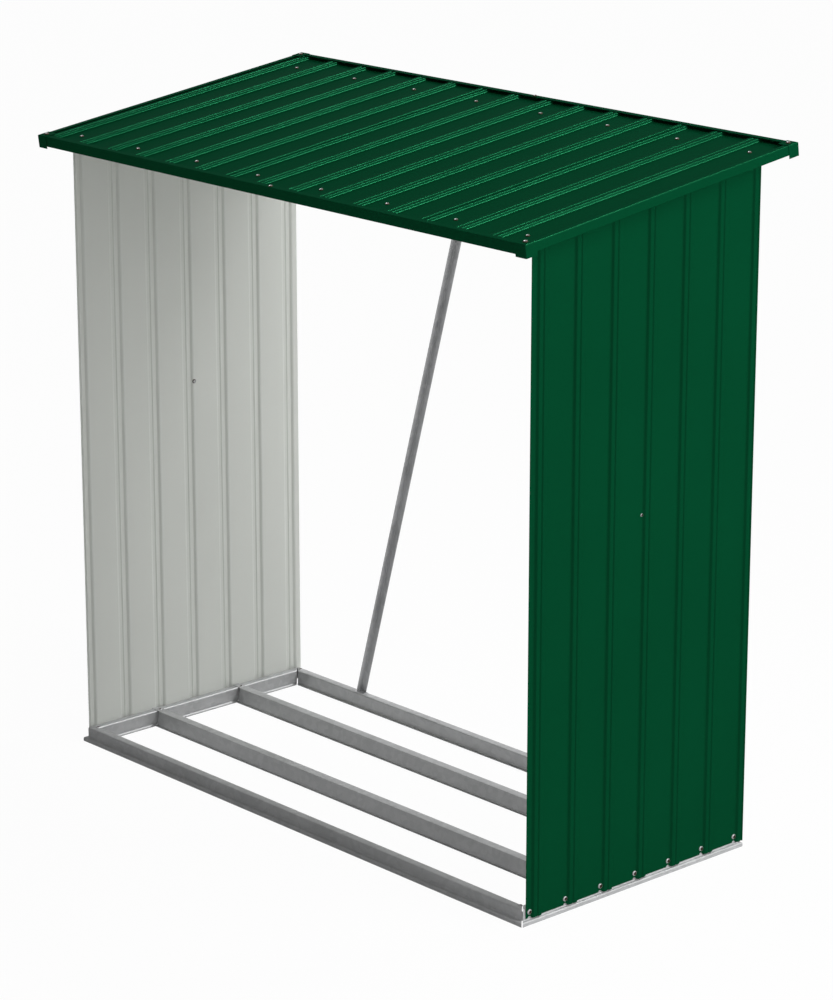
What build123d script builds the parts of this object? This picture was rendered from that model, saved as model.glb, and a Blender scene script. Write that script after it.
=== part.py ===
from build123d import *
import os
from math import cos, radians, sin, tan

# Sheet-steel log store: a mitred base frame with two floor bearers, two ribbed side walls,
# two braces in the open back and a lean-to roof that falls to the front.
# Millimetres, +Z up, the front faces -Y, the origin is on the ground under the middle of the roof.

# Ribbed panel, the same rolled section on the walls and the roof
panel_thickness = 0.8
rib_pitch = 122.0
rib_base_width = 34.0
rib_top_width = 23.0
rib_height = 6.5
rib_groove_width = 8.0
rib_groove_depth = 2.8
panel_bend = 1.3
panel_rib_count = 4
panel_lead = 35.0        # flat edge ahead of the middle of the first rib
panel_tail_flat = 1.0    # what is left past the groove of the last rib
wall_panel_count = 2
roof_panel_count = 5
seat_clearance = 0.2     # between faces that are screwed together

# Walls and roof as a whole
wall_span = 1760.0       # over the flat outer faces of the two walls
wall_foot_height = 15.0
foot_notch_radius = 5.0  # half-round notches in the foot of each wall sheet
foot_notch_lead = 23.0   # of a notch, ahead of the middle of its rib
roof_slope = 7.6         # degrees
roof_mid_height = 1768.0  # underside of the roof pans above the origin
roof_overhang = 75.6     # of the front and rear trims past the walls, along the slope

# Base frame, bent from galvanised strip
rail_thickness = 1.2
rail_bend = 4.0
rail_height = 40.0
rail_lip_height = 10.5
rail_ledge_width = 10.0
rail_top_width = 25.0
rail_foot_width = 10.0
frame_front_overhang = 10.0  # webs of the frame, ahead of the front edge of the walls
frame_rear_setback = 10.0    # webs of the frame, inside the rear edge of the walls
mitre_gap = 3.0

# Corner brackets inside the base frame
bracket_leg = 34.0
bracket_thickness = 1.5
bracket_height = 24.0

# Floor bearers, top-hat strip
bearer_top_width = 26.0
bearer_side_run = 6.0
bearer_foot_width = 7.0
bearer_bend = 2.5
bearer_spacing = 296.0

# Top rails under the roof
top_rail_thickness = 1.2
top_rail_bend = 2.5
top_rail_height = 36.0
top_rail_flange = 28.0
side_rail_height = 30.0
side_rail_flange = 22.0

# Roof trims and corner caps
trim_thickness = 1.0
trim_bend = 2.5
trim_flange = 16.0
trim_return = 10.0
fascia_height = 28.0
verge_height = 25.0
trim_joint_gap = 0.3
cap_length = 36.0
cap_drop = 5.0

# Rear braces, folded angle
brace_leg = 20.0
brace_thickness = 1.5
brace_bend = 2.0
brace_foot_offset = 595.0    # from the middle of the store to the foot
brace_head_offset = 60.0     # from the middle of the store to the head
brace_edge_inset = 2.5       # of the rear leg, inside the web of the rear rail
brace_tab_length = 34.0

# Places that follow from those sizes
panel_tail = rib_groove_width / 2 + panel_tail_flat
panel_cover = (panel_rib_count - 1) * rib_pitch
wall_depth = panel_lead + wall_panel_count * panel_cover + panel_tail
roof_width = panel_lead + roof_panel_count * panel_cover + panel_tail
lap_step = panel_thickness + seat_clearance

web_x = wall_span / 2 - 2 * lap_step
web_front_y = -wall_depth / 2 - frame_front_overhang
web_rear_y = wall_depth / 2 - frame_rear_setback
lip_x = web_x + rail_ledge_width
lip_front_y = web_front_y - rail_ledge_width
lip_rear_y = web_rear_y + rail_ledge_width
frame_mid_y = (lip_front_y + lip_rear_y) / 2
frame_half_depth = (lip_rear_y - lip_front_y) / 2

slope_cos = cos(radians(roof_slope))
slope_sin = sin(radians(roof_slope))
roof_run = wall_depth / slope_cos + 2 * roof_overhang
up_slope = Vector(0, slope_cos, slope_sin)
roof_normal = Vector(0, -slope_sin, slope_cos)
roof_middle = Vector(0, 0, roof_mid_height)
roof_plane = Plane(origin=roof_middle, x_dir=(1, 0, 0), z_dir=roof_normal)
rib_top_level = lap_step + rib_height + panel_thickness
trim_level = rib_top_level + seat_clearance + trim_thickness
roof_half_width = roof_width / 2 + seat_clearance + trim_thickness
sheet_half_run = roof_run / 2 - trim_bend - seat_clearance
brace_head_level = -(2 * seat_clearance + top_rail_height)
corners = {
    "front_left": (-1, lip_front_y, -1),
    "front_right": (1, lip_front_y, -1),
    "rear_left": (-1, lip_rear_y, 1),
    "rear_right": (1, lip_rear_y, 1),
}


os.makedirs("parts", exist_ok=True)


def finish(piece, name):
    """Label a finished piece and write it under its own name."""
    piece.part.label = name
    export_step(piece.part, f"parts/{name}.step")


def panel_path(level):
    """Corners of the underside of one ribbed panel: along the sheet, then out of it."""
    under = [(0, level)]
    crest = level + rib_height
    for rib in range(panel_rib_count):
        middle = panel_lead + rib * rib_pitch
        under += [
            (middle - rib_base_width / 2, level),
            (middle - rib_top_width / 2, crest),
            (middle - rib_groove_width / 2, crest),
            (middle, crest - rib_groove_depth),
            (middle + rib_groove_width / 2, crest),
        ]
        if rib < panel_rib_count - 1:
            under += [
                (middle + rib_top_width / 2, crest),
                (middle + rib_base_width / 2, level),
            ]
    under.append((panel_cover + panel_lead + panel_tail, crest))
    return under


def channel_path(height, flange, return_flange, top):
    """Outer corners of a channel, from its return to its flange: inwards from the web, then up."""
    foot = top - height
    return [(return_flange, foot), (0, foot), (0, top), (flange, top)]


# Base rails: lip, ledge that the wall stands over, web, top, inner leg and foot, mitred at the corners
rail_inner = rail_ledge_width + rail_top_width
rail_path = [
    (0, 0),
    (0, rail_lip_height),
    (rail_ledge_width, rail_lip_height),
    (rail_ledge_width, rail_height),
    (rail_inner, rail_height),
    (rail_inner, rail_thickness),
    (rail_inner + rail_foot_width, rail_thickness),
]
base_rails = [
    ("front_sill", (0, lip_front_y, 0), (0, 1, 0), lip_x, ("front_left", "front_right")),
    ("rear_base_rail", (0, lip_rear_y, 0), (0, -1, 0), lip_x, ("rear_left", "rear_right")),
    ("left_base_rail", (-lip_x, frame_mid_y, 0), (1, 0, 0), frame_half_depth, ("front_left", "rear_left")),
    ("right_base_rail", (lip_x, frame_mid_y, 0), (-1, 0, 0), frame_half_depth, ("front_right", "rear_right")),
]
for rail_name, lip_middle, inward, half_length, ends in base_rails:
    runs_across = inward[0] == 0
    with BuildPart() as base_rail:
        with BuildSketch(Plane(lip_middle, x_dir=inward, z_dir=Vector(*inward).cross(Vector(0, 0, 1)))):
            with BuildLine():
                FilletPolyline(*rail_path, radius=rail_bend)
                offset(amount=rail_thickness, side=Side.RIGHT)
            make_face()
        extrude(amount=half_length, both=True)
        for end in ends:
            side, corner_y, face = corners[end]
            mitre = Plane((side * lip_x, corner_y, 0), z_dir=(side, -face, 0))
            if runs_across:
                split(bisect_by=mitre.offset(-mitre_gap / 2), keep=Keep.BOTTOM)
            else:
                split(bisect_by=mitre.offset(mitre_gap / 2), keep=Keep.TOP)
    finish(base_rail, rail_name)

# Corner brackets: bent plates inside the hollow of two rails, bolted across the mitre
bracket_inset = rail_ledge_width + rail_thickness + seat_clearance
bracket_foot = rail_height - rail_bend - seat_clearance - bracket_height
for corner_name, (side, corner_y, face) in corners.items():
    heel_x = side * (lip_x - bracket_inset)
    heel_y = corner_y - face * bracket_inset
    with BuildPart() as corner_bracket:
        with BuildSketch(Plane((heel_x, heel_y, bracket_foot))):
            with BuildLine():
                Polyline(
                    (0, 0),
                    (-side * bracket_leg, 0),
                    (-side * bracket_leg, -face * bracket_thickness),
                    (-side * bracket_thickness, -face * bracket_thickness),
                    (-side * bracket_thickness, -face * bracket_leg),
                    (0, -face * bracket_leg),
                    close=True,
                )
            make_face()
        extrude(amount=bracket_height)
    finish(corner_bracket, f"{corner_name}_base_bracket")

# Floor bearers: top-hat strips between the side rails, with the top run out over them as a tab
bearer_height = rail_height + seat_clearance + rail_thickness
bearer_top = bearer_top_width / 2
bearer_base = bearer_top + bearer_side_run
bearer_edge = bearer_base + bearer_foot_width
bearer_path = [
    (-bearer_edge, rail_thickness),
    (-bearer_base, rail_thickness),
    (-bearer_top, bearer_height),
    (bearer_top, bearer_height),
    (bearer_base, rail_thickness),
    (bearer_edge, rail_thickness),
]
bearer_half_length = lip_x - rail_inner - rail_foot_width - seat_clearance
for bearer_name, bearer_side in (("front_floor_bearer", -1), ("rear_floor_bearer", 1)):
    bearer_y = frame_mid_y + bearer_side * bearer_spacing / 2
    with BuildPart() as floor_bearer:
        with BuildSketch(Plane((0, bearer_y, 0), x_dir=(0, 1, 0), z_dir=(1, 0, 0))):
            with BuildLine():
                FilletPolyline(*bearer_path, radius=bearer_bend)
                offset(amount=rail_thickness, side=Side.RIGHT)
            make_face()
        extrude(amount=bearer_half_length, both=True)
        with BuildSketch(Plane((0, bearer_y, rail_height + seat_clearance))):
            Rectangle(2 * web_x, bearer_top_width - 2 * bearer_bend)
        extrude(amount=rail_thickness)
    finish(floor_bearer, bearer_name)

# Walls: two panels a side, lapped over the middle rib; the left wall is the right one turned round
wall_head = roof_plane.offset(-seat_clearance)
wall_top_height = roof_mid_height + wall_depth * tan(radians(roof_slope))
wall_sheets = [
    ("right_wall_front_sheet", 1, 0),
    ("right_wall_rear_sheet", 1, 1),
    ("left_wall_rear_sheet", -1, 0),
    ("left_wall_front_sheet", -1, 1),
]
for sheet_name, side, panel in wall_sheets:
    sheet_start = side * (panel * panel_cover - wall_depth / 2)
    sheet_corner = (side * wall_span / 2, sheet_start, wall_top_height)
    with BuildPart() as wall_sheet:
        with BuildSketch(Plane(sheet_corner, x_dir=(0, side, 0), z_dir=(0, 0, -1))):
            with BuildLine():
                under = FilletPolyline(*panel_path(-panel_thickness - panel * lap_step), radius=panel_bend)
                over = under.moved(Location((0, panel_thickness)))
                add(over)
                Line(under @ 0, over @ 0)
                Line(under @ 1, over @ 1)
            make_face()
        extrude(amount=wall_top_height - wall_foot_height)
        split(bisect_by=wall_head, keep=Keep.BOTTOM)
        sheet_foot = (side * wall_span / 2, sheet_start, wall_foot_height)
        with BuildSketch(Plane(sheet_foot, x_dir=(0, side, 0), z_dir=(side, 0, 0))):
            with GridLocations(rib_pitch, 0, panel_rib_count, 1, align=(Align.MIN, Align.CENTER)):
                with Locations((panel_lead - foot_notch_lead, 0)):
                    Circle(foot_notch_radius)
        extrude(amount=rib_height, both=True, mode=Mode.SUBTRACT)
    finish(wall_sheet, sheet_name)

# Front and rear top rails: channels in line with the webs of the base frame, under the roof pans
top_rail_path = channel_path(top_rail_height, top_rail_flange, top_rail_flange, -seat_clearance)
for rail_name, web_y, inward in (("front_top_rail", web_front_y, 1), ("rear_top_rail", web_rear_y, -1)):
    web_foot = roof_middle + up_slope * (web_y / slope_cos)
    with BuildPart() as top_rail:
        with BuildSketch(Plane(web_foot, x_dir=up_slope * inward, z_dir=(inward, 0, 0))):
            with BuildLine():
                FilletPolyline(*top_rail_path, radius=top_rail_bend)
                offset(amount=top_rail_thickness, side=Side.RIGHT)
            make_face()
        extrude(amount=web_x, both=True)
    finish(top_rail, rail_name)

# Side top rails: angles inside the wall heads, tucked under the flanges of the front and rear rails
side_rail_top = -(2 * seat_clearance + top_rail_thickness)
side_rail_middle = roof_middle + up_slope * ((web_front_y + web_rear_y) / 2 / slope_cos)
side_rail_half_run = (web_rear_y - web_front_y) / 2 / slope_cos - top_rail_bend - seat_clearance
side_rail_foot = side_rail_top - side_rail_height
side_rail_path = [(0, side_rail_foot), (0, side_rail_top), (side_rail_flange, side_rail_top)]
for rail_name, side in (("left_top_rail", -1), ("right_top_rail", 1)):
    rail_heel = side_rail_middle + Vector(side * web_x, 0, 0)
    with BuildPart() as side_rail:
        with BuildSketch(Plane(rail_heel, x_dir=(-side, 0, 0), z_dir=up_slope * side)):
            with BuildLine():
                FilletPolyline(*side_rail_path, radius=top_rail_bend)
                offset(amount=top_rail_thickness, side=Side.RIGHT)
            make_face()
        extrude(amount=side_rail_half_run, both=True)
    finish(side_rail, rail_name)

# Rear braces: angles from the rear base rail up to the middle of the rear top rail, folded at the
# rear outer edge, with one leg across the opening and one towards the front
brace_rear_y = web_rear_y - brace_edge_inset
brace_seat = Plane.XY.offset(rail_height + seat_clearance)
brace_head = roof_plane.offset(brace_head_level)
brace_tab_y = brace_rear_y - brace_leg / 2
for brace_name, side in (("rear_brace_left", -1), ("rear_brace_right", 1)):
    foot = Vector(side * brace_foot_offset, brace_rear_y, 0)
    head = Vector(side * brace_head_offset, brace_rear_y, wall_top_height)
    axis = (head - foot).normalized()
    outer_edge = side * brace_leg / 2
    brace_path = [(-outer_edge, 0), (outer_edge, 0), (outer_edge, -brace_leg)]
    with BuildPart() as brace:
        with BuildSketch(Plane(foot, x_dir=(axis.Z, 0, -axis.X), z_dir=axis)):
            with BuildLine():
                FilletPolyline(*brace_path, radius=brace_bend)
                offset(amount=brace_thickness, side=Side.LEFT if side < 0 else Side.RIGHT)
            make_face()
        extrude(amount=(head - foot).length)
        split(bisect_by=brace_seat, keep=Keep.TOP)
        split(bisect_by=brace_head, keep=Keep.BOTTOM)
        foot_x = foot.X + axis.X / axis.Z * rail_height
        with BuildSketch(brace_seat):
            with Locations((foot_x, brace_tab_y)):
                Rectangle(brace_tab_length, brace_leg)
        extrude(amount=brace_thickness)
        head_x = head.X - axis.X / axis.Z * (wall_top_height - roof_mid_height)
        with BuildSketch(brace_head):
            with Locations((head_x, brace_tab_y / slope_cos)):
                Rectangle(brace_tab_length, brace_leg)
        extrude(amount=-brace_thickness)
    finish(brace, brace_name)

# Roof sheets: five panels lapped rib over rib, every other one on top
for panel in range(roof_panel_count):
    sheet_edge = Vector(panel * panel_cover - roof_width / 2, 0, 0)
    with BuildPart() as roof_sheet:
        with BuildSketch(Plane(roof_middle + sheet_edge, x_dir=(1, 0, 0), z_dir=-up_slope)):
            with BuildLine():
                under = FilletPolyline(*panel_path(panel % 2 * lap_step), radius=panel_bend)
                over = under.moved(Location((0, panel_thickness)))
                add(over)
                Line(under @ 0, over @ 0)
                Line(under @ 1, over @ 1)
            make_face()
        extrude(amount=sheet_half_run, both=True)
    finish(roof_sheet, f"roof_sheet_{panel + 1}")

# Front and rear trims: channels capped over the rib ends, each in two halves that meet in the middle
fascia_path = channel_path(fascia_height, trim_flange, trim_return, trim_level)
trim_end = roof_half_width - trim_bend
half_trim_length = trim_end - trim_joint_gap / 2
for edge_name, face in (("front", -1), ("rear", 1)):
    for half_name, side in (("left", -1), ("right", 1)):
        trim_start = roof_middle + up_slope * (face * roof_run / 2) + Vector(side * trim_end, 0, 0)
        with BuildPart() as edge_trim:
            with BuildSketch(Plane(trim_start, x_dir=up_slope * -face, z_dir=(-face, 0, 0))):
                with BuildLine():
                    FilletPolyline(*fascia_path, radius=trim_bend)
                    offset(amount=trim_thickness, side=Side.RIGHT)
                make_face()
            extrude(amount=side * face * half_trim_length)
        finish(edge_trim, f"{edge_name}_trim_{half_name}")

# Verge trims: the same channel down each sloping side, between the front and rear trims
verge_path = channel_path(verge_height, trim_flange, trim_return, trim_level)
for trim_name, side in (("left_verge_trim", -1), ("right_verge_trim", 1)):
    verge_face = roof_middle + Vector(side * roof_half_width, 0, 0)
    with BuildPart() as verge_trim:
        with BuildSketch(Plane(verge_face, x_dir=(-side, 0, 0), z_dir=up_slope * side)):
            with BuildLine():
                FilletPolyline(*verge_path, radius=trim_bend)
                offset(amount=trim_thickness, side=Side.RIGHT)
            make_face()
        extrude(amount=roof_run / 2 - trim_flange - seat_clearance, both=True)
    finish(verge_trim, trim_name)

# Corner caps: pressed boxes over the meeting ends of the trims, open underneath and towards the roof
cap_top = trim_level + seat_clearance + trim_thickness
cap_foot = trim_level - fascia_height - cap_drop
cap_skirt = trim_thickness + seat_clearance
for corner_name, (side, corner_y, face) in corners.items():
    cap_x = side * (roof_half_width + cap_skirt)
    cap_y = face * (roof_run / 2 + cap_skirt)
    cap_tip = roof_plane.from_local_coords((cap_x, cap_y, cap_top))
    with BuildPart() as corner_cap:
        with BuildSketch(roof_plane.offset(cap_foot)):
            with Locations((cap_x - side * cap_length / 2, cap_y - face * cap_length / 2)):
                Rectangle(cap_length, cap_length)
        extrude(amount=cap_top - cap_foot)
        fillet(corner_cap.edges().sort_by_distance(cap_tip)[:3], radius=trim_bend)
        open_faces = [
            corner_cap.faces().sort_by(Axis(roof_middle, roof_normal))[0],
            corner_cap.faces().sort_by(Axis(roof_middle, (side, 0, 0)))[0],
            corner_cap.faces().sort_by(Axis(roof_middle, up_slope * face))[0],
        ]
        offset(amount=-trim_thickness, openings=open_faces)
    finish(corner_cap, f"{corner_name}_roof_cap")
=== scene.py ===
import bpy
import numpy as np
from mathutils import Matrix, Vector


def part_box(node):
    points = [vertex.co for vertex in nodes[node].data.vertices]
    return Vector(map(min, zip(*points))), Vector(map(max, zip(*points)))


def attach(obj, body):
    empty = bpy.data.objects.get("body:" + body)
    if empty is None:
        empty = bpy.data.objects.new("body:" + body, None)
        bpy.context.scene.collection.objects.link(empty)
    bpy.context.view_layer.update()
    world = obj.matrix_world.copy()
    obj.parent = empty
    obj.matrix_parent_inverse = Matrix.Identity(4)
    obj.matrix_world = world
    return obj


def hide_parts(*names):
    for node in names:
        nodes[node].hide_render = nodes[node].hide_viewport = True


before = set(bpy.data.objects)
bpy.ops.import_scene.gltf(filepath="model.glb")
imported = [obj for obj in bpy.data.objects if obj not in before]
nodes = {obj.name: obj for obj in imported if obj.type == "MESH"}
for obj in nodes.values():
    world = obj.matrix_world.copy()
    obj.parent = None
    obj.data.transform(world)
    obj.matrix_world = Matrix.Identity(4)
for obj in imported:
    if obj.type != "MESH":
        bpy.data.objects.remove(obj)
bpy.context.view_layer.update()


# Base frame
# Four rails of galvanised strip, bent to a lip, a ledge, a web and a top, with bent plates bolted
# inside their corners. The zinc is dull and faintly spangled, drawn out along the strip.
class Shade:
    """One socket of a finish. Sums and products of sockets and numbers add Math nodes to its tree."""

    def __init__(self, tree, socket=None):
        self.tree = tree
        self.socket = socket

    def node(self, kind, settings, inputs, output=0):
        """Add one node: its settings first, then its sockets, each given a value or another socket."""
        made = self.tree.nodes.new(kind)
        for setting, value in settings.items():
            setattr(made, setting, value)
        for socket, value in inputs.items():
            if isinstance(value, Shade):
                self.tree.links.new(value.socket, made.inputs[socket])
            else:
                made.inputs[socket].default_value = value
        return Shade(self.tree, made.outputs[output] if made.outputs else None)

    def math(self, operation, first, second):
        return self.node("ShaderNodeMath", {"operation": operation}, {0: first, 1: second})

    def __add__(self, other):
        return self.math("ADD", self, other)

    def __mul__(self, other):
        return self.math("MULTIPLY", self, other)

    __radd__ = __add__
    __rmul__ = __mul__

    def between(self, first, second):
        """A colour between two others, by this socket's value from 0 to 1."""
        settings = {"data_type": "RGBA", "clamp_factor": True}
        return self.node("ShaderNodeMix", settings, {0: self, 6: (*first, 1), 7: (*second, 1)}, 2)

    def stretched(self, scales):
        """These coordinates with each axis scaled by itself."""
        return self.node("ShaderNodeVectorMath", {"operation": "MULTIPLY"}, {0: self, 1: scales})

    def noise(self, scale, detail):
        """Cloudy values from 0 to 1 on these coordinates."""
        return self.node("ShaderNodeTexNoise", {}, {"Vector": self, "Scale": scale, "Detail": detail})


def start_finish(name, **constants):
    """A material with its shader's constants set, and Object coordinates to paint it by."""
    material = bpy.data.materials.new(name)
    material.use_nodes = True
    shader = material.node_tree.nodes["Principled BSDF"]
    for socket, value in constants.items():
        shader.inputs[socket.replace("_", " ")].default_value = value
    place = Shade(material.node_tree).node("ShaderNodeTexCoord", {}, {}, "Object")
    return material, shader, place


def finish_with(shader, height=None, relief=0.0, **sockets):
    """Feed a finish's varying sockets, and its relief through a Bump node."""
    tree = shader.id_data
    for socket, value in sockets.items():
        tree.links.new(value.socket, shader.inputs[socket.replace("_", " ")])
    if height is not None:
        bump = height.node("ShaderNodeBump", {}, {"Strength": 1.0, "Distance": relief, "Height": height})
        tree.links.new(bump.socket, shader.inputs["Normal"])


def zinc(name, drawn_along, shine):
    """Hot-dip zinc: one random tone for each crystal, cloudy patches, and fine lines along the strip."""
    spangles_per_metre = 70.0
    clouds_per_metre = 9.0
    lines_per_metre = 600.0
    line_depth = 0.00008
    material, shader, place = start_finish(name, Metallic=shine, Specular_IOR_Level=0.08)
    cells = {"Vector": place, "Scale": spangles_per_metre}
    crystal_tone = place.node("ShaderNodeTexVoronoi", {}, cells, "Color")
    crystal = crystal_tone.node("ShaderNodeSeparateColor", {}, {0: crystal_tone})
    cloud = place.noise(clouds_per_metre, 3.0)
    lines = place.stretched(drawn_along).noise(lines_per_metre, 2.0)
    tone = 0.3 * crystal + 0.45 * cloud + 0.25 * lines
    finish_with(
        shader,
        height=lines,
        relief=line_depth,
        Base_Color=tone.between(zinc_dark, zinc_light),
        Roughness=0.32 + 0.1 * crystal + 0.1 * cloud,
    )
    return material


def dress(finish, *names):
    """Put one finish on all the slots of these nodes."""
    for name in names:
        for slot in nodes[name].material_slots:
            slot.material = finish


zinc_dark = (0.36, 0.365, 0.37)
zinc_light = (0.56, 0.565, 0.57)
along_x = (0.02, 1.0, 1.0)
along_y = (1.0, 0.02, 1.0)
along_z = (1.0, 1.0, 0.02)
zinc_across = zinc("zinc_strip_across", along_x, shine=0.06)
zinc_bright = zinc("zinc_strip_bright", along_x, shine=0.3)
zinc_deep = zinc("zinc_strip_deep", along_y, shine=0.15)
corners = ("front_left", "front_right", "rear_left", "rear_right")
dress(zinc_across, "front_sill", *(f"{corner}_base_bracket" for corner in corners))
dress(zinc_bright, "rear_base_rail")
dress(zinc_deep, "left_base_rail", "right_base_rail")

# Base screws
# Pale zinc pan-head screws, their drive recesses coloured nearly black as painted shade, one down
# through each end of the sill and of the rear rail into the corner brackets.
sharp_turn = np.radians(50)


def new_piece(name, points, faces, finishes, finish_of_face):
    """A piece of the object from whole arrays, its faces in one array for each number of corners. They
    are turned outwards by the sign of the volume that they enclose, and are smooth over the bends."""
    corner = [points[group] for group in faces]
    crossed = [np.cross(group[:, 1:-1], group[:, 2:]) for group in corner]
    fans = [np.einsum("fc,fkc->", group[:, 0], cross) for group, cross in zip(corner, crossed)]
    if sum(fans) < 0:
        faces = [group[:, ::-1] for group in faces]
    mesh = bpy.data.meshes.new(name)
    mesh.from_pydata(points.tolist(), [], sum((group.tolist() for group in faces), []))
    for finish in finishes:
        mesh.materials.append(finish)
    mesh.polygons.foreach_set("material_index", np.asarray(finish_of_face, np.int32))
    mesh.polygons.foreach_set("use_smooth", np.ones(len(mesh.polygons), bool))
    mesh.set_sharp_from_angle(angle=sharp_turn)
    piece = bpy.data.objects.new(name, mesh)
    bpy.context.scene.collection.objects.link(piece)
    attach(piece, "root")
    return piece


def screws(name, seats, out, size=1.0, dark=False):
    """A row of screws as one piece. Each is a profile of radius and height turned about its axis, which
    stands on a seat and points out; the two ends are flat. Pale ones have painted shade, nearly black,
    in their drive recesses. Dark ones have browned heads, and pale middles that are a painted highlight."""
    profile = size * np.array(screw_profile)
    seats = np.asarray(seats, float)
    axis = np.asarray(out, float) / np.linalg.norm(out)
    aside = np.cross(axis, np.roll(axis, 1))
    aside = aside / np.linalg.norm(aside)
    angle = np.linspace(0, 2 * np.pi, screw_steps, endpoint=False)[:, None]
    circle = np.cos(angle) * aside + np.sin(angle) * np.cross(axis, aside)
    radius, height = profile[:, :1, None], profile[:, 1:, None]
    points = seats[:, None, None] + radius * circle + height * axis
    rings = len(profile)
    step = np.arange(screw_steps)
    beside = (step + 1) % screw_steps
    first = screw_steps * np.arange(rings - 1)[:, None]
    second = first + screw_steps
    sides = np.stack([first + step, first + beside, second + beside, second + step], -1)
    whole = rings * screw_steps * np.arange(len(seats))
    sides = whole[:, None, None] + sides.reshape(-1, 4)
    ends = whole[:, None, None] + np.stack([step[::-1], (rings - 1) * screw_steps + step])
    side_finish = np.tile(np.repeat(np.arange(rings - 1) >= recess_ring, screw_steps), len(seats))
    finish_of_face = np.concatenate([side_finish, np.tile([0, 1], len(seats))])
    faces = [sides.reshape(-1, 4), ends.reshape(-1, screw_steps)]
    # pale screws: recess coloured dark as painted shade; dark screws: middle coloured pale as a painted
    # highlight
    finishes = (screw_recess_shade_and_browned, screw_zinc_and_highlight) if dark else (screw_zinc_and_highlight, screw_recess_shade_and_browned)
    new_piece(name, points.reshape(-1, 3), faces, finishes, finish_of_face)


def recess_shade_and_browned(name):
    """Browned steel of dark screws, also used as painted shade in the drive recesses of pale screws:
    nearly black, with a faint cloud of oil.
    """
    material, shader, place = start_finish(name, Metallic=0.6, Specular_IOR_Level=0.1)
    clouds_per_metre = 300.0
    brown_and_shade_deep = (0.02, 0.012, 0.008)
    brown_and_shade_pale = (0.06, 0.04, 0.028)
    cloud = place.noise(clouds_per_metre, 2.0)
    finish_with(shader, Base_Color=cloud.between(brown_and_shade_deep, brown_and_shade_pale), Roughness=0.35 + 0.2 * cloud)
    return material


screw_profile = [
    (0.0064, -0.0001),
    (0.0069, 0.0004),
    (0.0067, 0.0012),
    (0.0061, 0.002),
    (0.0054, 0.003),
    (0.0048, 0.0033),
    (0.0043, 0.0031),
    (0.0039, 0.0018),
    (0.0034, 0.0014),
]
recess_ring = 5
screw_steps = 20
# Pale zinc of the pale screws, also laid on the middles of dark screws as a painted highlight
screw_zinc_and_highlight = zinc("zinc_screw_and_painted_highlight", along_z, shine=0.5)
# browned steel of dark screws, also painted shade in the recesses of pale screws
screw_recess_shade_and_browned = recess_shade_and_browned("browned_and_painted_recess_shade")
rail_top = 0.04
rail_ends = (-0.854, 0.854)
sill_line = -0.3785
rear_line = 0.3644
up = (0, 0, 1)
rail_seats = [(x, y, rail_top) for x in rail_ends for y in (sill_line, rear_line)]
screws("base_top_screws", rail_seats, up, size=0.8)

# Floor bearers
# Two top-hat strips of the same zinc, laid across between the side rails to carry the logs,
# with the top of each run out over the rails as a screwed tab.
dress(zinc_bright, "front_floor_bearer", "rear_floor_bearer")
bearer_rows = (-0.158, 0.138)
tab_ends = (-0.853, 0.853)
tab_top = 0.0414
foot_ends = (-0.838, 0.838)
foot_top = 0.0012
foot_lead = 0.0225
tab_seats = [(x, y, tab_top) for x in tab_ends for y in bearer_rows]
# pale screws, their recesses coloured dark as painted shade
screws("bearer_tab_screws", tab_seats, up, size=0.7)
foot_seats = [(x, y - foot_lead, foot_top) for x in foot_ends for y in bearer_rows]
screws("bearer_foot_screws", foot_seats, up, size=0.45)

# Walls
# Rolled sheet with M-shaped ribs, two panels a side, lapped over the middle rib. The coil is coated
# dark green outside and pale grey inside, and the cut ends show bare zinc.
rib_pitch = 0.122
rib_half_base = 0.0178
rib_half_top = 0.013
rib_height = 0.0065
groove_half_width = 0.0034
groove_depth = 0.0036
sheet_thickness = 0.0008
ribs_a_panel = 4
lead_flat = 0.035
tail_flat = 0.0016
foot_bend = 0.0068
top_bend = 0.0028
groove_bend = 0.002
bend_steps = 7
notch_radius = 0.005
notch_lead = 0.023
notch_steps = 13
roof_slope = np.radians(7.6)


def rounded(corners, radius, steps):
    """Straight flats joined by arcs, each of its own radius. An arc leaves its flat at the radius times
    the tangent of half the turn from the corner, and is its first spoke turned evenly through that
    turn."""
    before = np.diff(corners, axis=0)[:-1]
    after = np.diff(corners, axis=0)[1:]
    before = before / np.linalg.norm(before, axis=1, keepdims=True)
    after = after / np.linalg.norm(after, axis=1, keepdims=True)
    across = before[:, 0] * after[:, 1] - before[:, 1] * after[:, 0]
    turn = np.arctan2(across, (before * after).sum(1))
    start = corners[1:-1] - before * (radius * np.tan(np.abs(turn) / 2))[:, None]
    spoke = (np.sign(turn) * radius)[:, None] * np.stack([before[:, 1], -before[:, 0]], 1)
    angle = turn[:, None] * np.linspace(0, 1, steps)
    turned_x = np.cos(angle) * spoke[:, :1] - np.sin(angle) * spoke[:, 1:]
    turned_y = np.sin(angle) * spoke[:, :1] + np.cos(angle) * spoke[:, 1:]
    arcs = (start - spoke)[:, None] + np.stack([turned_x, turned_y], -1)
    return np.concatenate([corners[:1], arcs.reshape(-1, 2), corners[-1:]])


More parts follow.
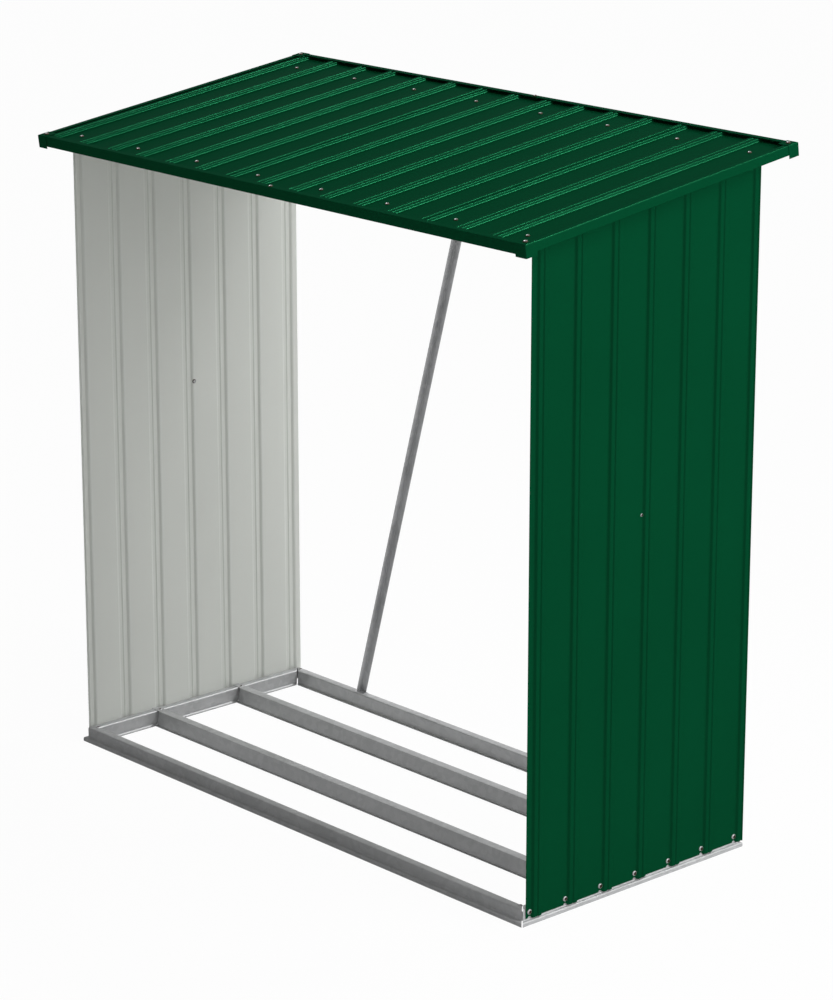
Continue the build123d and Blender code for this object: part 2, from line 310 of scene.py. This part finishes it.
def panel_section():
    """The inner and outer lines of one panel: flats and ribs along it, then out of it, with closer
    points where the foot is notched. The outer line is the inner one moved along its normal by the
    thickness."""
    rib_along = np.array([-rib_half_base, -rib_half_top, -groove_half_width, 0])
    rib_along = np.concatenate([rib_along, -rib_along[2::-1]])
    rib_out = np.array([0, rib_height, rib_height, rib_height - groove_depth])
    rib_out = np.concatenate([rib_out, rib_out[2::-1]])
    middles = lead_flat + rib_pitch * np.arange(ribs_a_panel)
    along = (middles[:, None] + rib_along).ravel()
    out = np.tile(rib_out, ribs_a_panel)
    end = middles[-1] + groove_half_width + tail_flat
    along = np.concatenate([[0], along[:-2], [end]])
    out = np.concatenate([[0], out[:-2], [rib_height]])
    rib_bends = [foot_bend, top_bend, groove_bend, groove_bend, groove_bend, top_bend, foot_bend]
    bends = np.tile(rib_bends, ribs_a_panel)[:-2]
    inner = rounded(np.stack([along, out], 1), bends, bend_steps)
    notch = notch_radius * np.sin(np.linspace(-np.pi / 2, np.pi / 2, notch_steps))
    closer = np.sort(np.concatenate([inner[:, 0], (middles[:, None] - notch_lead + notch).ravel()]))
    inner = np.stack([closer, np.interp(closer, *inner.T)], 1)
    heading = np.gradient(inner, axis=0)
    heading = heading / np.linalg.norm(heading, axis=1, keepdims=True)
    normal = np.stack([-heading[:, 1], heading[:, 0]], 1)
    return inner, inner + sheet_thickness * normal


def grid_faces(rows, columns):
    """The faces of a grid of points whose columns close on themselves, and of its two end strips."""
    column = np.arange(columns)
    beside = (column + 1) % columns
    row = columns * np.arange(rows - 1)[:, None]
    above = row + columns
    sides = np.stack([row + column, row + beside, above + beside, above + column], -1)
    half = np.arange(columns // 2 - 1)
    strip = np.stack([half, columns - 1 - half, columns - 2 - half, half + 1], -1)
    last = (rows - 1) * columns
    return sides.reshape(-1, 4), np.concatenate([strip, last + strip[:, ::-1]])


def rolled_sheet(name, node, place):
    """A panel carried along its length by place(along, out, share), as one closed shell."""
    inner, outer = panel_section()
    loop = np.concatenate([outer, inner[::-1]])
    share = np.linspace(0, 1, 2)
    points = place(loop[:, 0], loop[:, 1], share[:, None]).reshape(-1, 3)
    sides, ends = grid_faces(len(share), len(loop))
    skin = np.zeros(len(loop), int)
    skin[len(outer):-1] = 1
    finish_of_face = np.concatenate([np.tile(skin, len(share) - 1), np.full(len(ends), 2)])
    finishes = (green_coat, backing_coat, zinc_edge)
    piece = new_piece(name, points, [sides, ends], finishes, finish_of_face)
    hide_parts(node)


def coat(name, deep, bright, gloss, **constants):
    """A stoved coil coating: slow drifts of tone, a fine mottle, and a faint orange peel."""
    drifts_per_metre = 2.5
    mottles_per_metre = 420.0
    peel_per_metre = 900.0
    peel_depth = 0.00001
    material, shader, place = start_finish(name, **constants)
    drift = place.noise(drifts_per_metre, 2.0)
    mottle = place.noise(mottles_per_metre, 2.0)
    peel = place.noise(peel_per_metre, 1.0)
    finish_with(
        shader,
        height=peel,
        relief=peel_depth,
        Base_Color=(0.6 * drift + 0.4 * mottle).between(deep, bright),
        Roughness=gloss + 0.06 * mottle,
    )
    return material


green_deep = (0.0005, 0.048, 0.0172)
green_bright = (0.001, 0.0615, 0.0225)
green_gloss = 0.17
green_sheen = {
    "Metallic": 0.18,
    "Specular_IOR_Level": 0.0,
    "Specular_Tint": (0.395, 0.5, 0.46, 1),
    "Coat_Weight": 0.005,
    "Coat_IOR": 2.5,
    "Coat_Roughness": 0.2,
}
backing_deep = (0.71, 0.73, 0.69)
backing_bright = (0.79, 0.81, 0.77)
backing_gloss = 0.35
green_coat = coat("green_coat", green_deep, green_bright, green_gloss, **green_sheen)
backing_coat = coat("backing_coat", backing_deep, backing_bright, backing_gloss, Specular_IOR_Level=0.1)
zinc_edge = zinc("zinc_cut_edge", along_z, shine=0.15)
wall_sheets = {
    "right_wall_front_sheet": 1,
    "right_wall_rear_sheet": 1,
    "left_wall_front_sheet": -1,
    "left_wall_rear_sheet": -1,
}
for sheet_name, side in wall_sheets.items():
    low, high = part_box(sheet_name)
    pan_x = low.x if side > 0 else high.x
    first_y = low.y if side > 0 else high.y

    def upright(along, out, share):
        """The section turned to lie flat on the plan, then raised from the foot to a head that climbs
        towards the rear with the roof. The foot rises in a half round over each notch."""
        y = first_y + side * along + 0 * share
        x = pan_x + side * out + 0 * share
        head = high.z - (high.y - y) * np.tan(roof_slope)
        aside = (along - lead_flat + notch_lead + rib_pitch / 2) % rib_pitch - rib_pitch / 2
        foot = low.z + np.sqrt(np.maximum(notch_radius ** 2 - aside ** 2, 0))
        return np.stack([x, y, foot + share * (head - foot)], -1)

    rolled_sheet(f"{sheet_name}_skin", sheet_name, upright)

# Wall screws
# One beside the foot of every rib, through the sheet into the web of the base rail, and a small one at
# half height that holds the lap, with its dark end inside. The pale screws' recesses are painted shade,
# and the dark end's pale middle is a painted highlight.
lap_step = 0.001
pan_face = 0.88
wall_rib = np.arange(2 * ribs_a_panel - 1)
first_wall_screw = -0.374
screw_along = first_wall_screw + rib_pitch * wall_rib
screw_depth = pan_face - lap_step * (wall_rib >= ribs_a_panel)
screw_height = np.full(len(wall_rib), 0.031)
lap_along = -0.006
lap_height = 0.97
for side_name, side in (("right", 1), ("left", -1)):
    seats = np.stack([side * screw_depth, side * screw_along, screw_height], 1)
    screws(f"{side_name}_wall_foot_screws", seats, (side, 0, 0))
    lap_outside = [(side * pan_face, side * lap_along, lap_height)]
    screws(f"{side_name}_wall_lap_screw", lap_outside, (side, 0, 0), size=0.6)
    lap_inside = [(side * (pan_face - sheet_thickness), side * lap_along, lap_height)]
    screws(f"{side_name}_wall_lap_nut", lap_inside, (-side, 0, 0), size=0.9, dark=True)

# Top frame
# Channels across the front and back and angles along the wall heads, in the same zinc strip, under
# the roof pans.
dress(zinc_across, "front_top_rail", "rear_top_rail")
dress(zinc_deep, "left_top_rail", "right_top_rail")

# Rear braces
# Two folded angles that lean together in the open back, screwed down to the rear rail and up to the
# top frame.
zinc_upright = zinc("zinc_strip_upright", along_z, shine=0.9)
dress(zinc_upright, "rear_brace_left", "rear_brace_right")

# Roof sheets
# Five of the same coated panels, laid down the slope over the top frame. The second and fourth lie
# over the edge ribs of their neighbours.
panel_depth = rib_height + sheet_thickness
roof_sheets = [f"roof_sheet_{number}" for number in range(1, 6)]
slope_cos = np.cos(roof_slope)
slope_sin = np.sin(roof_slope)
for sheet_name in roof_sheets:
    low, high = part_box(sheet_name)
    half_run = (high.y - low.y - panel_depth * slope_sin) / slope_cos / 2
    middle = (low + high) / 2

    def down_slope(along, out, share):
        """The section across the roof, carried up the slope about the middle of the sheet's box."""
        climb = half_run * (2 * share - 1) + 0 * along
        over = out - panel_depth / 2 + 0 * share
        x = low.x + along + 0 * share
        y = middle.y + climb * slope_cos - over * slope_sin
        z = middle.z + climb * slope_sin + over * slope_cos
        return np.stack([x, y, z], -1)

    rolled_sheet(f"{sheet_name}_skin", sheet_name, down_slope)

# Roof screws
# Browned screws whose pale middles are a painted highlight, a row near each end of the sheets, in every
# other pan, driven down into the front and rear top rails.
roof_middle_height = 1.768
up_slope = np.array([0, slope_cos, slope_sin])
off_slope = np.array([0, -slope_sin, slope_cos])


def on_roof(across, along, level):
    """Points on the roof: across it, up its slope from the middle, and out from the underside of the
    pans."""
    across = np.asarray(across, float)[:, None] * (1, 0, 0)
    level = np.asarray(level, float)[:, None] * off_slope
    return across + (0, 0, roof_middle_height) + along * up_slope + level


first_roof_screw = -0.839
roof_screw_count = 8
roof_edge = 0.935
sheet_step = 3 * rib_pitch
screw_across = first_roof_screw + 2 * rib_pitch * np.arange(roof_screw_count)
sheet_number = np.floor((screw_across + roof_edge) / sheet_step)
screw_level = sheet_thickness + lap_step * (sheet_number % 2)
screw_rows = {"front": -0.393, "rear": 0.363}
for row_name, along in screw_rows.items():
    seats = on_roof(screw_across, along, screw_level)
    screws(f"{row_name}_roof_screws", seats, off_slope, size=0.8, dark=True)

# Roof trims and corner caps
# Folded channels over the edges of the roof and pressed caps over their meeting ends, in the same
# green coating.
trim_coat = coat("green_trim_coat", green_deep, green_bright, green_gloss, **green_sheen)
trims = [f"{edge}_trim_{half}" for edge in ("front", "rear") for half in ("left", "right")]
dress(trim_coat, "left_verge_trim", "right_verge_trim", *trims)
dress(trim_coat, *(f"{corner}_roof_cap" for corner in corners))
trim_lap = [0.02]
trim_row = 0.457
trim_level = [0.0095]
cap_middles = [-0.9194, 0.9194]
cap_row = 0.4482
cap_level = [0.0107, 0.0107]
for row_name, end in (("front", -1), ("rear", 1)):
    cap_seats = on_roof(cap_middles, end * cap_row, cap_level)
    # dark screws, their pale middles a painted highlight
    screws(f"{row_name}_cap_screws", cap_seats, off_slope, size=0.9, dark=True)
    trim_seat = on_roof(trim_lap, end * trim_row, trim_level)
    screws(f"{row_name}_trim_screw", trim_seat, off_slope, size=0.8, dark=True)

# Studio
# A plain pale floor and white surround. A large soft lamp stands to the right, high and a little behind,
# and a smaller one low beside it. Two far ones above the back draw the light lines along the ribs.
floor_half = 60.0
floor_drop = 0.0006
floor_mesh = bpy.data.meshes.new("floor")
floor_plan = floor_half * np.array([(-1, -1), (1, -1), (1, 1), (-1, 1)])
floor_points = np.column_stack([floor_plan, np.full(len(floor_plan), -floor_drop)])
floor_mesh.from_pydata(floor_points.tolist(), [], [(0, 1, 2, 3)])
floor = bpy.data.objects.new("floor", floor_mesh)
bpy.context.scene.collection.objects.link(floor)


def seen_directly(shade):
    """1 for rays from the camera and for mirrored or refracted ones, 0 for light that falls about."""
    kinds = ("Is Camera Ray", "Is Glossy Ray", "Is Transmission Ray")
    camera_ray, mirrored, refracted = [shade.node("ShaderNodeLightPath", {}, {}, kind) for kind in kinds]
    seen = camera_ray + mirrored + refracted
    return seen.node("ShaderNodeClamp", {}, {0: seen})


floor_paint = bpy.data.materials.new("pale_floor")
floor_paint.use_nodes = True
floor_tree = floor_paint.node_tree
floor_tree.nodes.clear()
paint = Shade(floor_tree)
share_white = 0.97 * seen_directly(paint)
matt = paint.node("ShaderNodeBsdfDiffuse", {}, {"Color": (0.8, 0.8, 0.8, 1)})
white = paint.node("ShaderNodeEmission", {}, {"Color": (1, 1, 1, 1), "Strength": 1.0})
floor_shader = paint.node("ShaderNodeMixShader", {}, {0: share_white, 1: matt, 2: white})
paint.node("ShaderNodeOutputMaterial", {}, {"Surface": floor_shader})
floor_mesh.materials.append(floor_paint)

world = bpy.data.worlds.new("surround")
world.use_nodes = True
world.node_tree.nodes.clear()
sky = Shade(world.node_tree)
surround_level = 0.12
level = surround_level + (1 - surround_level) * seen_directly(sky)
surround = sky.node("ShaderNodeBackground", {}, {"Color": (1, 1, 1, 1), "Strength": level})
sky.node("ShaderNodeOutputWorld", {}, {"Surface": surround})
bpy.context.scene.world = world


def lamp(name, direction, distance, size, level):
    """A square soft lamp that faces the middle of the store. At normal incidence it lights a white
    surface to the given level: watts are pi squared times the level times the distance squared."""
    light = bpy.data.lights.new(name, "AREA")
    light.size = size
    light.energy = level * np.pi ** 2 * distance ** 2
    holder = bpy.data.objects.new(name, light)
    bpy.context.scene.collection.objects.link(holder)
    toward = np.array(direction) / np.linalg.norm(direction)
    centre = np.array([0, 0, 0.9])
    holder.location = centre + toward * distance
    yaw = np.arctan2(toward[0], -toward[1])
    holder.rotation_euler = (np.arccos(toward[2]), 0, yaw)
    return holder


over_the_back = (0.05, 0.525, 0.85)
lamp("key_lamp", direction=(0.77, 0.34, 0.54), distance=6.0, size=3.5, level=0.64)
lamp("side_lamp", direction=(0.95, -0.16, 0.22), distance=6.0, size=2.5, level=0.22)
lamp("rib_lamp", direction=over_the_back, distance=40.0, size=8.0, level=0.25)
glint_lamp = lamp("glint_lamp", direction=over_the_back, distance=40.0, size=8.0, level=1.1)
glint_lamp.visible_diffuse = False  # it lights mirrored rays only

# Camera
# A long lens ahead of the front right-hand corner and above the roof, as in the photograph. It is not
# shifted, so the uprights draw together slightly towards the ground.
camera_data = bpy.data.cameras.new("camera")
camera_data.lens = 125.34
camera_data.sensor_width = 36.0
camera = bpy.data.objects.new("camera", camera_data)
camera.location = (6.5424, -5.8709, 3.3954)
camera_yaw = 47.853
camera_dip = 16.356
camera.rotation_euler = np.radians([90 - camera_dip, 0, camera_yaw])
bpy.context.scene.collection.objects.link(camera)
bpy.context.scene.camera = camera
bpy.context.scene.view_settings.view_transform = "Standard"
